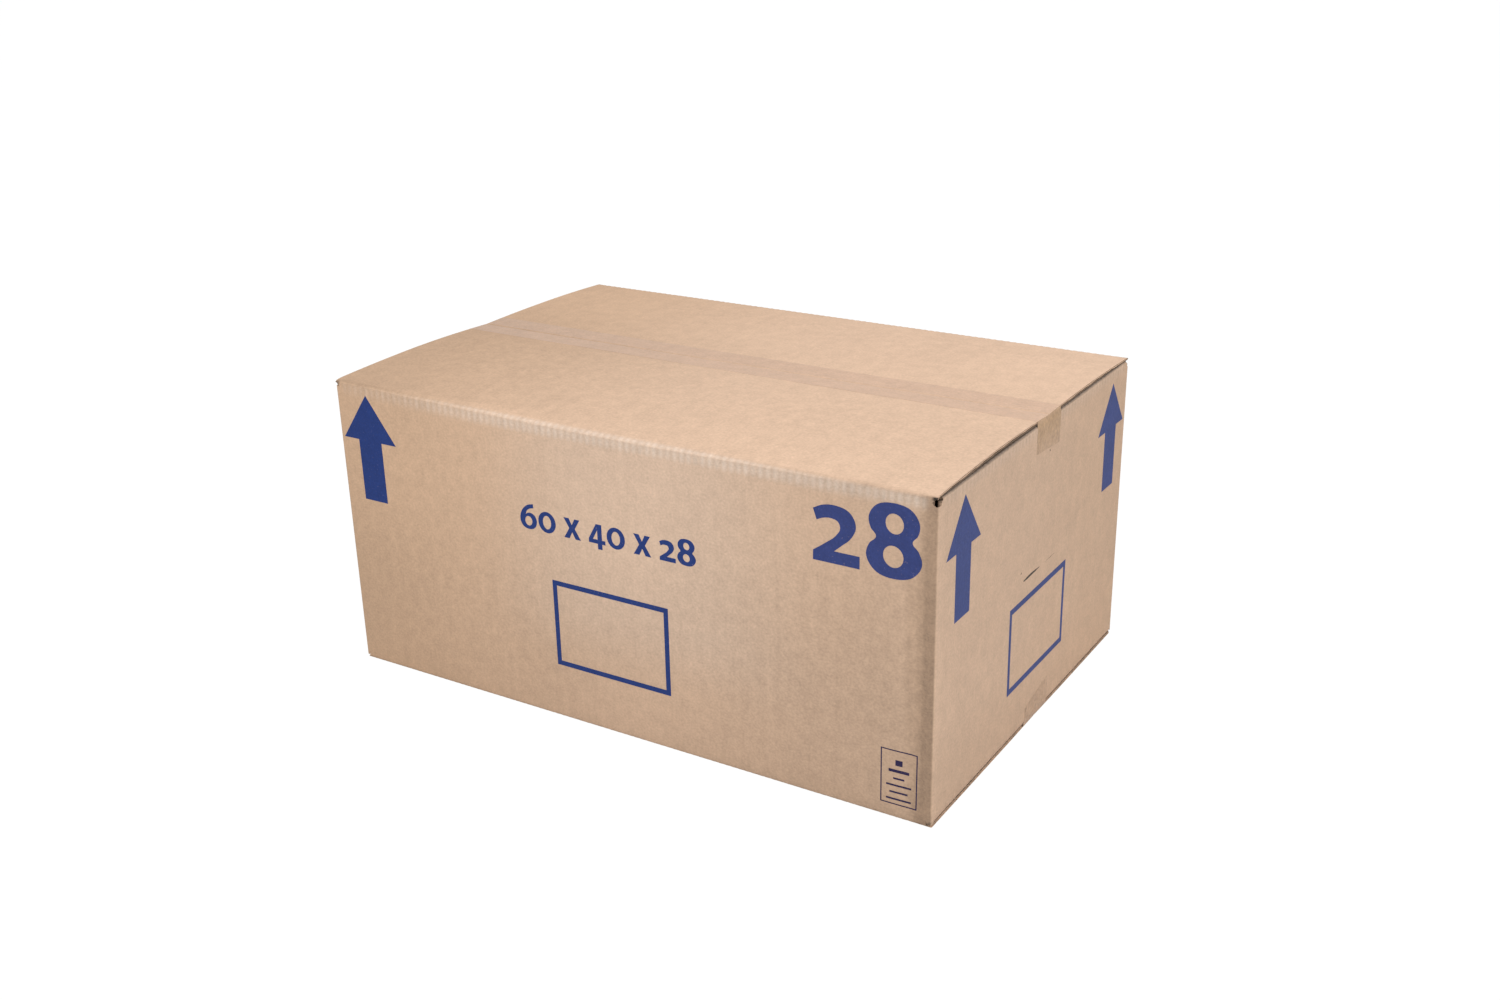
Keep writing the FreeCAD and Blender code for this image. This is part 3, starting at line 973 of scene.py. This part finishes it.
def washboard_tree():
    """Presses a fold's liner in between the flutes, unevenly from flute to flute."""
    tree, graph, entry = new_geometry_tree(
        "Washboard Ribs", {"Depth": 0.0004, "Unevenness": 0.5, "Seed": 4.0, "Material": None})
    weight, phase = graph.field("rib"), graph.field("phase")
    random = graph.take("ShaderNodeTexWhiteNoise", "Value", {"noise_dimensions": "1D"},
                        W=graph.math("ROUND", phase) + entry["Seed"])
    trough = 0.5 - 0.5 * graph.math("COSINE", phase * (2 * math.pi))
    strength = 1.0 - entry["Unevenness"] * random
    depth = weight * trough * strength * entry["Depth"]
    offset = graph.take("ShaderNodeVectorMath", 0, {"operation": "SCALE"},
                        _0=graph.take("GeometryNodeInputNormal"), Scale=depth * -1.0)
    moved = graph.take("GeometryNodeSetPosition", Geometry=entry["Geometry"], Offset=offset)
    stored = graph.take("GeometryNodeStoreNamedAttribute", 0, {"data_type": "FLOAT"},
                        Geometry=moved, Name="crest", Value=weight * (1.0 - trough) * strength)
    end_tree(graph, stored, entry["Material"])
    return tree


def fluting_tree():
    """A strip of fluted paper along each edge line, wandering between the liners."""
    tree, graph, entry = new_geometry_tree(
        "Cut Fluting", {"Wander": 0.8, "Waves": 45.0, "Step": 0.004, "Depth": 0.002,
                        "Paper": 0.0004, "Seed": 2.0, "Material": None})
    curve = graph.take("GeometryNodeMeshToCurve", Mesh=entry["Geometry"])
    stepped = graph.take("GeometryNodeResampleCurve", 0, {"mode": "LENGTH"}, Curve=curve,
                         Length=entry["Step"])
    waves = graph.take("ShaderNodeTexNoise", "Fac", {"noise_dimensions": "4D"},
                       Vector=graph.take("GeometryNodeInputPosition"), W=entry["Seed"],
                       Scale=entry["Waves"], Detail=1.0)
    swing = graph.math("SINE", (waves - 0.5) * 16.0)
    offset = graph.take("ShaderNodeCombineXYZ", Z=swing * entry["Wander"] * graph.field("room"))
    moved = graph.take("GeometryNodeSetPosition", Geometry=stepped, Offset=offset)
    upright = graph.take("GeometryNodeSetCurveNormal", 0, {"mode": "Z_UP"}, Curve=moved)
    section = graph.take("GeometryNodeCurvePrimitiveQuadrilateral", Width=entry["Depth"],
                         Height=entry["Paper"])
    strip = graph.take("GeometryNodeCurveToMesh", Curve=upright, Profile_Curve=section,
                       Fill_Caps=True)
    end_tree(graph, strip, entry["Material"])
    return tree


# Carton

def paint_blank(mesh, sheet):
    """The blank's own coordinates as a UV map, and the marks that the finish reads."""
    travels = [value for loop in mesh.loops for value in sheet.travels[loop.vertex_index]]
    layer = mesh.uv_layers.new(name="blank")
    layer.data.foreach_set("uv", [value * MM for value in travels])
    for name, values in sheet.marks.items():
        mesh.attributes.new(name, "FLOAT", "POINT").data.foreach_set("value", values)


def edge_lines(sheet):
    """Middle lines of the hollows along the flaps' side edges, with the room in them."""
    points, edges, rooms = [], [], []
    for run in sheet.hollows:
        for index, (point, room) in enumerate(run):
            points.append(tuple(point * MM))
            rooms.append(max(0.0, room) * MM)
            if index:
                edges.append((len(points) - 2, len(points) - 1))
    mesh = bpy.data.meshes.new("cut_fluting")
    mesh.from_pydata(points, edges, [])
    mesh.attributes.new("room", "FLOAT", "POINT").data.foreach_set("value", rooms)
    return mesh


# Print

def oval(center_x, center_z, radius_x, radius_z, tilt=0.0):
    points = []
    for step in range(OVAL_STEPS):
        angle = 2 * math.pi * step / OVAL_STEPS
        x, z = radius_x * math.cos(angle), radius_z * math.sin(angle)
        points.append((center_x + x * math.cos(tilt) - z * math.sin(tilt),
                       center_z + x * math.sin(tilt) + z * math.cos(tilt)))
    return points


def tangent(before, place, after, length):
    one, two = place - before, after - place
    mean = one.normalized() * two.length + two.normalized() * one.length
    return mean.normalized() * length


def curve(stations):
    """A closed outline through stations, curved between its sharp corners."""
    count = len(stations)
    places = [Vector(station[:2]) for station in stations]
    sharp = [len(station) > 2 for station in stations]
    outline = []
    for index in range(count):
        onward = (index + 1) % count
        a, b = places[index], places[onward]
        if sharp[index] and sharp[onward]:
            outline.append(tuple(a))
            continue
        span = (b - a).length
        leave = b - a if sharp[index] else tangent(places[index - 1], a, b, span)
        arrive = b - a if sharp[onward] else tangent(a, b, places[(index + 2) % count], span)
        for step in range(CURVE_STEPS):
            t = step / CURVE_STEPS
            point = ((2 * t ** 3 - 3 * t ** 2 + 1) * a + (t ** 3 - 2 * t ** 2 + t) * leave
                     + (3 * t ** 2 - 2 * t ** 3) * b + (t ** 3 - t ** 2) * arrive)
            outline.append(tuple(point))
    return outline


def numeral(figure):
    """A figure's outlines and its width."""
    width, *parts = FIGURES[figure]
    outlines = []
    for kind, data in parts:
        if kind == "curve":
            outlines.append(curve(data))
        else:
            outlines.append(oval(*data) if kind == "oval" else list(data))
    return outlines, width


def moved(outlines, x, z, scale=1.0):
    return [[(x + scale * px, z + scale * pz) for px, pz in outline] for outline in outlines]


def arrow(tip_x, tip_z, head_z, foot_z):
    """An upward arrow with a solid foot."""
    head, shaft = ARROW_HEAD / 2, ARROW_SHAFT / 2
    return [[(tip_x - shaft, foot_z), (tip_x + shaft, foot_z), (tip_x + shaft, head_z),
             (tip_x + head, head_z), (tip_x, tip_z), (tip_x - head, head_z),
             (tip_x - shaft, head_z)]]


def bar(x, z, width, height):
    return [[(x, z), (x + width, z), (x + width, z + height), (x, z + height)]]


def frame_outline(x, z, width, height, line, level=None):
    """A rectangle drawn with upright lines of one width and level lines of another."""
    level = level or line
    inner = [(x + line, z + level), (x + width - line, z + level),
             (x + width - line, z + height - level), (x + line, z + height - level)]
    return bar(x, z, width, height) + [inner]


def size_line(x, z, scale):
    """The carton's size in centimetres, in one line."""
    outlines = []
    for figure in "60 x 40 x 28":
        if figure == " ":
            x += WORD_GAP - LETTER_GAP
            continue
        shapes, width = numeral(figure)
        outlines.append(moved(shapes, x, z, scale))
        x += scale * width + LETTER_GAP
    return outlines


def long_side_print():
    """Outlines on a long side, in its own across and up distances."""
    return [arrow(-263.6, 269.6, 226.4, 168.4), *size_line(-94.0, 177.2, SMALL_SCALE),
            frame_outline(-63.6, 52.8, 120.4, 81.2, FRAME_LINE),
            moved(numeral("2")[0], 195.0, 208.6), moved(numeral("8")[0], 240.8, 207.1)]


def panel_print():
    """A small outlined panel with plain bars."""
    return [frame_outline(PANEL_X, 13.2, 31.6, 48.8, PANEL_LINE)] + [
        bar(PANEL_X + start, PANEL_BAR_Z + PANEL_BAR_RISE * row, width, height)
        for row, (start, width, height) in enumerate(PANEL_BARS)]


def end_print():
    """Outlines on a short side."""
    return [arrow(-153.7, 266.1, 222.2, 164.7), arrow(161.2, 264.4, 221.8, 164.4),
            frame_outline(-57.1, 49.5, 122.0, 80.0, FRAME_LINE, END_FRAME_LEVEL)]


def sides(outline):
    return zip(outline, outline[1:] + outline[:1])


def inside(outlines, x, z):
    """Whether a point lies in the inked area, which holes leave out."""
    found = False
    for outline in outlines:
        for (x1, z1), (x2, z2) in sides(outline):
            if (z1 > z) != (z2 > z) and x < x1 + (z - z1) / (z2 - z1) * (x2 - x1):
                found = not found
    return found


def divided(outline):
    """The outline with no side longer than the ink's grid."""
    points = []
    for (x1, z1), (x2, z2) in sides(outline):
        count = max(1, math.ceil(math.hypot(x2 - x1, z2 - z1) / INK_GRID))
        points += [(x1 + (x2 - x1) * k / count, z1 + (z2 - z1) * k / count)
                   for k in range(count)]
    return points


def triangles_of(outlines):
    """Flat triangles that fill the outlines, with inner points on a grid."""
    flat, edges = [], []
    for outline in outlines:
        points = divided(outline)
        start = len(flat)
        flat += points
        edges += [(start + k, start + (k + 1) % len(points)) for k in range(len(points))]
    xs, zs = [p[0] for p in flat], [p[1] for p in flat]
    x = min(xs) + INK_GRID / 2
    while x < max(xs):
        z = min(zs) + INK_GRID / 2
        while z < max(zs):
            if inside(outlines, x, z):
                flat.append((x, z))
            z += INK_GRID
        x += INK_GRID
    points, made, faces = delaunay_2d_cdt([Vector(p) for p in flat], edges, [], 0, 1e-5)[:3]
    kept = []
    for face in faces:
        a, b, c = (points[k] for k in face)
        center = (a + b + c) / 3
        if (b - a).cross(c - a) > SLIVER and inside(outlines, center.x, center.y):
            kept.append(face)
    return points, kept


class Wall:
    """A side of the carton that print is laid on, by the way it faces."""

    def __init__(self, tree, x, y):
        self.tree = tree
        self.outward, self.across = Vector((x, y, 0)), Vector((-y, x, 0))
        self.origin = Vector((x * HALF_LENGTH, y * HALF_WIDTH, 0))

    def place(self, x, z):
        start = self.origin + self.across * x + Vector((0, 0, z)) + self.outward * RAY_START
        hit = self.tree.ray_cast(start * MM, -self.outward)[0]
        if hit is None:
            raise RuntimeError(f"print at {x:.1f}, {z:.1f} misses the carton")
        return hit / MM


def printed(name, wall, shapes, material):
    """Thin closed ink shapes that follow a wall."""
    points, faces = [], []
    for outlines in shapes:
        flat, triangles = triangles_of(outlines)
        used = sorted({k for face in triangles for k in face})
        order = {k: index for index, k in enumerate(used)}
        base, count = len(points), len(used)
        spots = [wall.place(flat[k].x, flat[k].y) for k in used]
        points += [spot + wall.outward * INK_PROUD for spot in spots]
        points += [spot - wall.outward * INK_SUNK for spot in spots]
        borders = {}
        for face in triangles:
            ring = [order[k] for k in face]
            faces.append([base + k for k in ring])
            faces.append([base + count + k for k in reversed(ring)])
            for one, two in sides(ring):
                if (two, one) in borders:
                    del borders[two, one]
                else:
                    borders[one, two] = True
        for one, two in borders:
            faces.append([base + one, base + count + one, base + count + two, base + two])
    mesh = mesh_from(name, points, faces)
    mesh.materials.append(material)
    return link(name, mesh)


# Tape

def film(name, stations, material):
    """A closed film through rows of points, each row across the tape."""
    faces, normals = [], []
    rows, width = len(stations), len(stations[0])
    for i in range(rows):
        for j in range(width):
            along = stations[min(i + 1, rows - 1)][j] - stations[max(i - 1, 0)][j]
            across = stations[i][min(j + 1, width - 1)] - stations[i][max(j - 1, 0)]
            normals.append(along.cross(across).normalized())
    points = [point for row in stations for point in row]
    points += [point - normal * TAPE_FILM for point, normal in zip(points, normals)]
    back = rows * width
    for i in range(rows - 1):
        for j in range(width - 1):
            a, b = i * width + j, i * width + j + 1
            c, d = b + width, a + width
            faces.append([a, d, c, b])
            faces.append([back + a, back + b, back + c, back + d])
    ring = list(range(width)) + [i * width + width - 1 for i in range(1, rows)]
    ring += [(rows - 1) * width + j for j in range(width - 2, -1, -1)]
    ring += [i * width for i in range(rows - 2, 0, -1)]
    faces += [[a, b, back + b, back + a] for a, b in sides(ring)]
    mesh = mesh_from(name, points, faces, TAPE_SHARP)
    mesh.materials.append(material)
    return link(name, mesh)


def closed_z(height, y):
    """The height of the closed flaps at a place across the seam."""
    side = FRONT if y < SEAM_Y else REAR
    return height(side, min(HALF_WIDTH - side * y, flap_depth(side)))


def surface_z(y):
    """Top of the closed lid, with the tape pressed into its seam."""
    groove = TAPE_GROOVE * math.exp(-((y - SEAM_Y) / TAPE_GROOVE_HALF) ** 2)
    return closed_z(lid_height, y) - groove


def underside_z(y):
    return closed_z(bottom_height, y)


def tape_end_z(y, level, slope, seed):
    """Where the tape ends: cut askew, higher to the rear or with a minus to the front."""
    share = (y - SEAM_Y + TAPE_HALF) / (2 * TAPE_HALF)
    askew = slope * share if slope > 0 else -slope * (1 - share)
    return level + askew + TAPE_RAGGED * noise.noise(Vector((y * 0.9, seed, 0)))


def bend(surface, outward, end, y):
    """Stops over the carton's edge and down its end, as sideways distance and height."""
    top = surface(y) + outward * TAPE_ABOVE
    wall_z = (MINOR_FOLD_Z if outward > 0 else LOW_MINOR_Z) - outward * TAPE_CLEAR_OF_FOLD
    stops = [(TAPE_REACH, top)]
    stops += [(MAJOR_END_X + out, top - outward * down)
              for out, down in ((-0.6, 0.06), (0.12, 0.75), (0.3, 1.6), (0.42, 2.8))]
    stops += [(TAPE_SIDE_X - 0.15, wall_z + outward * 1.0), (TAPE_SIDE_X, wall_z - outward * 0.6)]
    last, final = stops[-1][1], tape_end_z(y, *end)
    stops += [(TAPE_SIDE_X, last + (final - last) * step / DOWN_STEPS)
              for step in range(1, DOWN_STEPS + 1)]
    return stops


def tape_stations(surface, outward, end):
    """Rows of points across a tape, from its left end over the carton to its right end."""
    ys = [SEAM_Y - TAPE_HALF + 2 * TAPE_HALF * step / ACROSS_STEPS
          for step in range(ACROSS_STEPS + 1)]
    bends = list(zip(*(bend(surface, outward, end, y) for y in ys)))
    left, right = ([[handled(Vector((side * x, y, z))) for y, (x, z) in zip(ys, stops)]
                    for stops in bends] for side in (LEFT, RIGHT))
    rows = left[::-1]
    count = round(2 * TAPE_REACH / ALONG_STEP)
    for step in range(1, count):
        x = -TAPE_REACH + 2 * TAPE_REACH * step / count
        row = []
        for y in ys:
            crinkle = TAPE_CRINKLE * noise.noise(Vector((x * 0.09, y * 0.22, 1.3)))
            row.append(handled(Vector((x, y, surface(y) + outward * (TAPE_ABOVE + crinkle)))))
        rows.append(row)
    rows += right
    return [row[::-1] for row in rows] if outward < 0 else rows


# Add-on

def number(name, description, default, low, high, **kind):
    return bpy.props.FloatProperty(name=name, description=description, default=default, min=low,
                                   max=high, **kind)


def tint(name, description, *colour):
    return bpy.props.FloatVectorProperty(
        name=name, description="Colour of " + description, subtype="COLOR", size=4,
        default=colour + (1.0,), min=0.0, max=1.0)


class CartonSizes(bpy.types.PropertyGroup):
    flute_pitch: number("Flute Pitch", "Distance between two flutes of the board",
                        0.0066, 0.003, 0.012, unit="LENGTH")
    crease_sag: number("Crease Sag", "How far the front top fold hangs in its middle",
                       0.0033, 0.0, 0.01, unit="LENGTH")
    rib_depth: number("Rib Depth", "How deep a fold is pressed in between two flutes",
                      0.00042, 0.0, 0.001, unit="LENGTH")
    fluting_wander: number("Fluting Wander", "How far the cut fluting moves between the liners",
                           0.5, 0.0, 1.0, subtype="FACTOR")


class CartonColours(bpy.types.PropertyGroup):
    kraft: tint("Kraft", "the liner paper", 0.600, 0.418, 0.290)
    warm_kraft: tint("Warm Kraft", "the liner where it is browner", 0.545, 0.364, 0.235)
    # Also the colour of the painted light on the middle of the front
    rubbed: tint("Rubbed Ribs", "the liner where a fold has rubbed it pale", 0.70, 0.58, 0.48)
    # Painted much darker in the cut edges' hollows and on the board's inside, and painted lighter
    # on the fluting strips
    raw_edge: tint("Raw Edge", "the board's cut edges", 0.40, 0.27, 0.18)
    tape: tint("Tape", "the tape over the board", 0.525, 0.350, 0.240)
    tape_end: tint("Tape End", "the tape that hangs down the ends", 0.457, 0.293, 0.165)
    ink: tint("Ink", "the print", 0.015, 0.037, 0.162)
    thin_ink: tint("Thin Ink", "the print on the ends", 0.0165, 0.048, 0.194)
    panel_ink: tint("Panel Ink", "the small panel's print", 0.022, 0.016, 0.055)
    backdrop: tint("Backdrop", "the floor", 0.80, 0.80, 0.80)


class CARTON_OT_board(bpy.types.Operator):
    """Fold the blank of corrugated board into the closed carton"""
    bl_idname = "carton.board"
    bl_label = "Carton"

    def execute(self, context):
        sizes = context.scene.carton_sizes
        sheet = fold_blank(sizes.flute_pitch / MM)
        mesh = mesh_from("carton_board", sheet.points, sheet.faces, BOARD_SHARP)
        if len(mesh.vertices) != len(sheet.points):
            raise RuntimeError("the folded sheet lost points")
        paint_blank(mesh, sheet)
        thing = link("carton_board", mesh)
        run_tree(thing, washboard_tree(), {"Depth": sizes.rib_depth, "Material": board_material()})
        settle(thing, "board", "carton")
        strips = link("cut_fluting", edge_lines(sheet))
        run_tree(strips, fluting_tree(), {
            "Wander": sizes.fluting_wander, "Depth": STRIP_DEPTH * MM, "Paper": STRIP_PAPER * MM,
            "Material": fluting_material()})
        settle(strips, "board")
        return {"FINISHED"}


class CARTON_OT_tapes(bpy.types.Operator):
    """Lay the packing tape over both seams and down the ends"""
    bl_idname = "carton.tapes"
    bl_label = "Tapes"

    def execute(self, context):
        material = tape_material()
        for name, surface, outward, end, node in (
                ("top_film", surface_z, 1, TOP_TAPE_END, "top_tape"),
                ("bottom_film", underside_z, -1, BOTTOM_TAPE_END, "bottom_tape")):
            settle(film(name, tape_stations(surface, outward, end), material), "tape", node)
        return {"FINISHED"}


class CARTON_OT_print(bpy.types.Operator):
    """Print the arrows, frames and size figures on the walls"""
    bl_idname = "carton.print"
    bl_label = "Print"

    def execute(self, context):
        tree = surface_of("carton_board")
        colours = context.scene.carton_colours
        dense = ink_material("blue_ink", colours.ink, 1.0, 0.03)
        thin = ink_material("thin_blue_ink", colours.thin_ink, 0.94)
        dark = ink_material("dark_ink", colours.panel_ink, 1.0)
        for name, x, y, shapes, material in (
                ("front_print", 0, -1, long_side_print(), dense),
                ("front_panel", 0, -1, panel_print(), dark),
                ("rear_print", 0, 1, long_side_print(), dense),
                ("right_end_print", 1, 0, end_print(), thin),
                ("left_end_print", -1, 0, end_print(), thin)):
            settle(printed(name, Wall(tree, x, y), shapes, material), "ink")
        return {"FINISHED"}


class CARTON_OT_scuffs(bpy.types.Operator):
    """Rub the dark scuffs into the right end and its bottom tape"""
    bl_idname = "carton.scuffs"
    bl_label = "Scuffs"

    def execute(self, context):
        material = scuff_material()
        for name, base, marks in (("scuff_marks", "carton_board", BOARD_MARKS),
                                  ("bottom_tape_mark", "bottom_film", TAPE_MARKS)):
            wall = Wall(surface_of(base), 1, 0)
            settle(printed(name, wall, [[mark] for mark in marks], material), "board")
        return {"FINISHED"}


def add_floor(colour):
    """A pale floor that runs out of sight, white to the camera but for the shadow."""
    mesh = bpy.data.meshes.new("floor")
    mesh.from_pydata([(x * FLOOR_REACH, y * FLOOR_REACH, 0)
                      for x, y in ((-1, -1), (1, -1), (1, 1), (-1, 1))], [], [(0, 1, 2, 3)])
    paint = Finish("pale_floor")
    paint.feed(Base_Color=colour, Roughness=0.9)
    glow = paint.take("ShaderNodeEmission", Color=WHITE, Strength=FLOOR_GLOW)
    share = paint.take("ShaderNodeLightPath", "Is Camera Ray") * FLOOR_WHITENESS
    blend = paint.take("ShaderNodeMixShader", Fac=share, _1=Link(paint, paint.shader.outputs[0]),
                       _2=glow)
    paint.put(paint.tree.nodes["Material Output"].inputs["Surface"], blend)
    mesh.materials.append(paint.material)
    link("floor", mesh)


def add_surround():
    """Dim light from all round, which the camera and clear things see as white."""
    world = bpy.data.worlds.new("surround")
    world.use_nodes = True
    graph = Graph(world.node_tree)
    rays = graph.node("ShaderNodeLightPath")
    camera, glossy, clear = (Link(graph, rays.outputs[f"Is {kind} Ray"])
                             for kind in ("Camera", "Glossy", "Transmission"))
    seen = graph.math("MAXIMUM", camera, graph.math("MAXIMUM", glossy, clear))
    strength = graph.take("ShaderNodeMapRange", Value=seen, To_Min=WORLD_LIGHT, To_Max=1.0)
    background = world.node_tree.nodes["Background"]
    background.inputs["Color"].default_value = WHITE
    graph.put(background.inputs["Strength"], strength)
    return world


class CARTON_OT_stage(bpy.types.Operator):
    """Set the camera, the lamps, the floor and the white surround"""
    bl_idname = "carton.stage"
    bl_label = "Stage"

    def execute(self, context):
        scene = context.scene
        camera = bpy.data.cameras.new("view")
        camera.lens = CAMERA_LENS
        camera.sensor_width = 36.0
        camera.sensor_fit = "HORIZONTAL"
        camera.clip_end = 50.0
        holder = link("view", camera)
        turn = Matrix((CAMERA_RIGHT, -CAMERA_DOWN, -CAMERA_FORWARD)).transposed().to_4x4()
        holder.matrix_world = Matrix.Translation(CAMERA_PLACE) @ turn
        scene.camera = holder
        scene.view_settings.view_transform = "Standard"
        for name, place, size, watts, colour in LAMPS:
            light = bpy.data.lights.new(name, "AREA")
            light.energy, light.size, light.color = watts, size, colour
            lamp = link(name, light)
            lamp.location = place
            aim = (LAMP_TARGET - Vector(place)).to_track_quat("-Z", "Y")
            lamp.rotation_euler = aim.to_euler()
        scene.world = add_surround()
        add_floor(scene.carton_colours.backdrop)
        return {"FINISHED"}


class CARTON_PT_panel(bpy.types.Panel):
    bl_label = "Taped Carton"
    bl_idname = "CARTON_PT_panel"
    bl_space_type = "VIEW_3D"
    bl_region_type = "UI"
    bl_category = "Carton"

    def draw(self, context):
        for group in (context.scene.carton_sizes, context.scene.carton_colours):
            for name in group.bl_rna.properties.keys():
                if name not in ("rna_type", "name"):
                    self.layout.prop(group, name)
        for operator in OPERATORS:
            self.layout.operator(operator.bl_idname)


OPERATORS = (CARTON_OT_stage, CARTON_OT_board, CARTON_OT_tapes, CARTON_OT_print,
             CARTON_OT_scuffs)
CLASSES = (CartonSizes, CartonColours) + OPERATORS + (CARTON_PT_panel,)


def register():
    for cls in CLASSES:
        bpy.utils.register_class(cls)
    bpy.types.Scene.carton_sizes = bpy.props.PointerProperty(type=CartonSizes)
    bpy.types.Scene.carton_colours = bpy.props.PointerProperty(type=CartonColours)


def unregister():
    del bpy.types.Scene.carton_colours
    del bpy.types.Scene.carton_sizes
    for cls in reversed(CLASSES):
        bpy.utils.unregister_class(cls)


def main():
    register()
    bpy.ops.carton.stage()
    bpy.ops.carton.board()
    bpy.ops.carton.tapes()
    bpy.ops.carton.print()
    bpy.ops.carton.scuffs()


if __name__ == "__main__":
    main()
